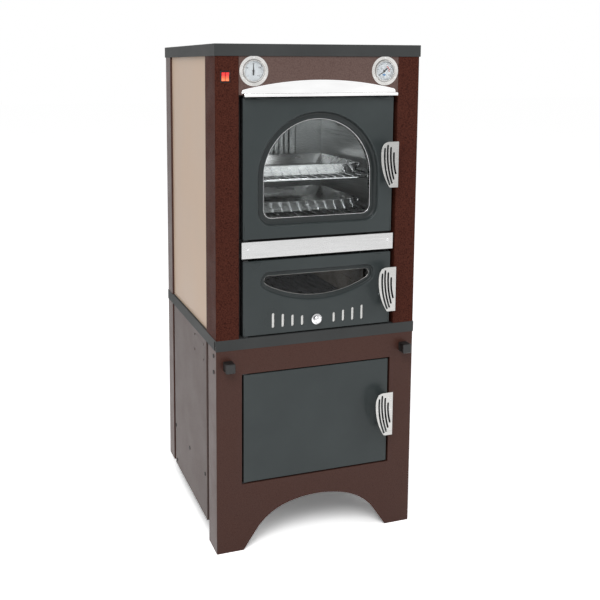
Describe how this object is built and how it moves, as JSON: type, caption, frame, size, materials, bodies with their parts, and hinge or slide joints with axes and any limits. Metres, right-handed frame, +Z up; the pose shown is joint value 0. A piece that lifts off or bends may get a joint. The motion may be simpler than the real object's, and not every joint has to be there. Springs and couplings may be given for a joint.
{
  "type": "wood burning oven",
  "caption": "Free-standing wood-burning oven with glazed oven and fire doors, gauges and a switch, on a base cabinet with a log door, wheels and pull-out bars",
  "frame": {"origin": "centre of the bounding box's footprint, on the floor", "axes": "+X to the right seen from the front, +Y to the back, +Z up"},
  "size_m": [0.64, 0.702, 1.5],
  "materials": {
    "hammered_brown": "hammer-textured brown enamel",
    "brown_paint": "satin brown enamel",
    "cream_enamel": "satin cream enamel",
    "dark_grey_paint": "satin dark grey paint",
    "black_paint": "matt black stove paint",
    "stainless": "brushed",
    "polished_stainless": "mirror polished",
    "galvanised_steel": "galvanised",
    "chrome": "polished",
    "window_glass": "clear ceramic glass",
    "gauge_glass": "clear",
    "gasket": "black glass-fibre rope",
    "dial": "matt white",
    "needle": "matt black",
    "red_lens": "red, lit from inside",
    "black_plastic": "moulded",
    "firebrick": "refractory brick",
    "cast_iron": "rough",
    "mineral_wool": "pressed wool slab",
    "rubber": "moulded",
    "black_steel": "black oxide",
    "lamp_glass": "frosted"
  },
  "bodies": {
    "oven_body": {"base_front_panel": "brown_paint", "base_side_panels": "brown_paint", "rear_posts": "brown_paint", "base_back_panel": "brown_paint", "base_floor": "black_paint", "mid_shelf": "dark_grey_paint", "pull_bar_guides": "galvanised_steel", "axle_brackets": "galvanised_steel", "wheel_axle": "galvanised_steel", "screws": "black_steel", "hinge_pins": "chrome", "front_left_post": "hammered_brown", "front_right_post": "hammered_brown", "header_panel": "hammered_brown", "side_panels": "cream_enamel", "back_panel": "brown_paint", "top_slab": "dark_grey_paint", "hood": "polished_stainless", "trim_strip": "stainless", "oven_front_frame": "black_paint", "oven_cavity": "stainless", "smoke_jacket": "black_steel", "insulation": "mineral_wool", "shelf_runners": "stainless", "wire_shelves": "chrome", "baking_trays": "polished_stainless", "fan_guard": "stainless", "fan_motor": "black_steel", "oven_lamp": "lamp_glass", "firebox_shell": "black_steel", "firebricks": "firebrick", "fire_grate": "cast_iron", "ash_pan": "galvanised_steel", "gauge_cases": "stainless", "gauge_dials": "dial", "gauge_glasses": "gauge_glass", "switch_housing": "black_plastic"},
    "oven_door": {"oven_door_panel": "dark_grey_paint", "oven_door_glass": "window_glass", "oven_door_gasket": "gasket", "oven_door_liner": "stainless", "oven_door_handle": "stainless"},
    "fire_door": {"fire_door_panel": "dark_grey_paint", "fire_door_glass": "window_glass", "fire_door_gasket": "gasket", "fire_door_liner": "black_steel", "fire_door_handle": "stainless"},
    "air_damper": {"air_slider": "stainless", "air_knob": "chrome"},
    "base_door": {"base_door_panel": "dark_grey_paint", "base_door_handle": "stainless"},
    "left_bar": {"left_pull_bar": "black_plastic"},
    "right_bar": {"right_pull_bar": "black_plastic"},
    "left_road_wheel": {"left_wheel": "rubber"},
    "right_road_wheel": {"right_wheel": "rubber"},
    "fan": {"fan_impeller": "galvanised_steel"},
    "left_pointer": {"left_gauge_needle": "needle"},
    "right_pointer": {"right_gauge_needle": "needle"},
    "fan_rocker": {"left_rocker": "red_lens"},
    "light_rocker": {"right_rocker": "red_lens"}
  },
  "joints": [
    {"name": "oven_door_hinge", "type": "hinge", "parent": "oven_body", "child": "oven_door", "pos_m": [-0.2273, -0.299, 1.146], "axis": [0, 0, -1], "range_deg": [0, 115]},
    {"name": "fire_door_hinge", "type": "hinge", "parent": "oven_body", "child": "fire_door", "pos_m": [-0.2273, -0.299, 0.769], "axis": [0, 0, -1], "range_deg": [0, 115]},
    {"name": "base_door_hinge", "type": "hinge", "parent": "oven_body", "child": "base_door", "pos_m": [-0.229, -0.303, 0.3775], "axis": [0, 0, -1], "range_deg": [0, 100]},
    {"name": "air_damper_slide", "type": "slide", "parent": "fire_door", "child": "air_damper", "axis": [1, 0, 0], "range_m": [0, 0.011]},
    {"name": "left_bar_slide", "type": "slide", "parent": "oven_body", "child": "left_bar", "axis": [0, -1, 0], "range_m": [0, 0.3]},
    {"name": "right_bar_slide", "type": "slide", "parent": "oven_body", "child": "right_bar", "axis": [0, -1, 0], "range_m": [0, 0.3]},
    {"name": "left_wheel_spin", "type": "hinge", "parent": "oven_body", "child": "left_road_wheel", "pos_m": [-0.252, 0.209, 0.05], "axis": [1, 0, 0], "continuous": true},
    {"name": "right_wheel_spin", "type": "hinge", "parent": "oven_body", "child": "right_road_wheel", "pos_m": [0.252, 0.209, 0.05], "axis": [1, 0, 0], "continuous": true},
    {"name": "fan_spin", "type": "hinge", "parent": "oven_body", "child": "fan", "pos_m": [0, 0.169, 1.165], "axis": [0, 1, 0], "continuous": true},
    {"name": "left_pointer_turn", "type": "hinge", "parent": "oven_body", "child": "left_pointer", "pos_m": [-0.204, -0.3069, 1.4245], "axis": [0, 1, 0], "range_deg": [-128, 128], "stiffness_Nm_per_rad": 0.002},
    {"name": "right_pointer_turn", "type": "hinge", "parent": "oven_body", "child": "right_pointer", "pos_m": [0.204, -0.3069, 1.4245], "axis": [0, 1, 0], "range_deg": [0, 256], "stiffness_Nm_per_rad": 0.002},
    {"name": "fan_rocker_tilt", "type": "hinge", "parent": "oven_body", "child": "fan_rocker", "pos_m": [-0.294, -0.3085, 1.409], "axis": [-1, 0, 0], "range_deg": [0, 14]},
    {"name": "light_rocker_tilt", "type": "hinge", "parent": "oven_body", "child": "light_rocker", "pos_m": [-0.2824, -0.3085, 1.409], "axis": [-1, 0, 0], "range_deg": [0, 14]}
  ]
}
